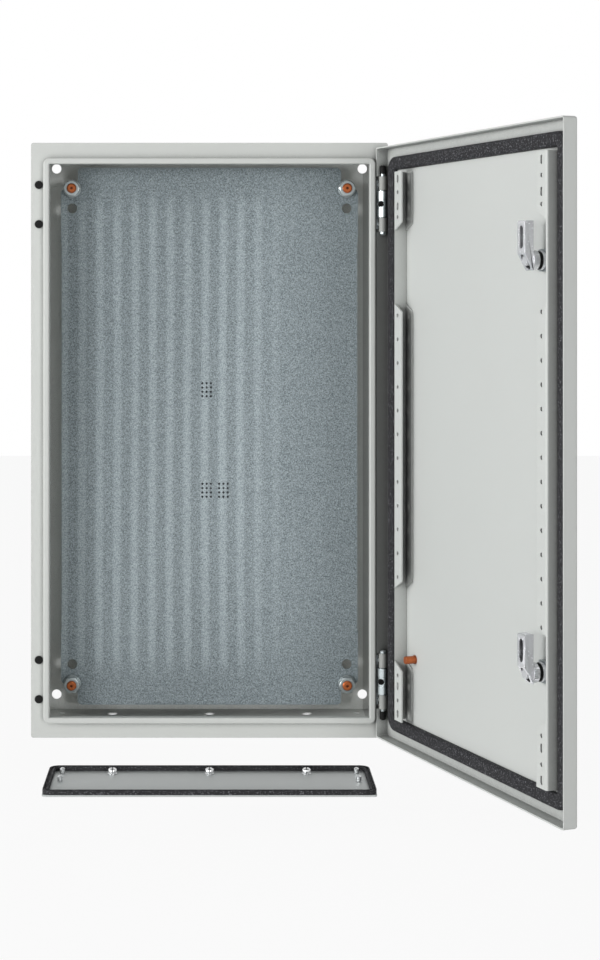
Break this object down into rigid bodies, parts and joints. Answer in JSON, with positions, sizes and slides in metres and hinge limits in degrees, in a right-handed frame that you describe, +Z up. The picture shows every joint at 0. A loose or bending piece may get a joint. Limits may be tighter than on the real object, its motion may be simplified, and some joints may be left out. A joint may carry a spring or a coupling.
{
  "type": "wall enclosure",
  "caption": "Steel wall enclosure with a hinged door on cam locks, a mounting plate inside, perforated door strips and a separate bottom gland plate.",
  "frame": {"origin": "centre of the four wall holes, on the outer face of the back panel", "axes": "+X to the right seen from the front, +Y into the wall, +Z up; the door stands open at rest"},
  "size_m": [0.4046, 0.3903, 0.5538],
  "materials": {
    "cabinet_paint": "textured powder coat",
    "door_paint": "textured powder coat",
    "galvanised": "galvanised",
    "zinc": "zinc plated",
    "die_cast": "zinc die casting",
    "copper": "copper plated",
    "black_plastic": "matte",
    "foam": "foamed seal"
  },
  "bodies": {
    "cabinet": {"cabinet_wrap": "cabinet_paint", "back_panel": "cabinet_paint", "mounting_plate": "galvanised", "plate_studs": "copper", "plate_back_nuts": "zinc", "plate_washers": "zinc", "plate_nuts": "zinc", "hinge_hole_plugs": "black_plastic", "upper_hinge_body": "die_cast", "lower_hinge_body": "die_cast", "hinge_screws": "zinc"},
    "door": {"door_panel": "door_paint", "door_seal": "foam", "hinge_side_strip": "door_paint", "lock_side_strip": "door_paint", "hinge_barrels": "door_paint", "upper_hinge_pin": "zinc", "lower_hinge_pin": "zinc", "hinge_pin_caps": "black_plastic", "door_earth_stud": "copper", "upper_lock_housing": "die_cast", "lower_lock_housing": "die_cast", "lock_nuts": "zinc", "lock_rings": "black_plastic"},
    "upper_cam": {"upper_lock_cam": "die_cast", "upper_lock_spindle": "die_cast"},
    "lower_cam": {"lower_lock_cam": "die_cast", "lower_lock_spindle": "die_cast"},
    "gland_cover": {"gland_plate": "zinc", "gland_seal": "foam", "gland_clips": "zinc", "gland_dowels": "zinc"}
  },
  "joints": [
    {"name": "door_hinge", "type": "hinge", "parent": "cabinet", "child": "door", "pos_m": [0.1452, -0.1131, 0], "axis": [0, 0, 1], "range_deg": [-110.6, 0]},
    {"name": "upper_lock_turn", "type": "hinge", "parent": "door", "child": "upper_cam", "pos_m": [0.22994, -0.35303, 0.1462], "axis": [0.9361, 0.3518, 0], "range_deg": [0, 90]},
    {"name": "lower_lock_turn", "type": "hinge", "parent": "door", "child": "lower_cam", "pos_m": [0.22994, -0.35303, -0.1464], "axis": [0.9361, 0.3518, 0], "range_deg": [0, 90]},
    {"name": "gland_plate_lift", "type": "slide", "parent": "cabinet", "child": "gland_cover", "axis": [0, 0, 1], "range_m": [0, 0.048]}
  ]
}
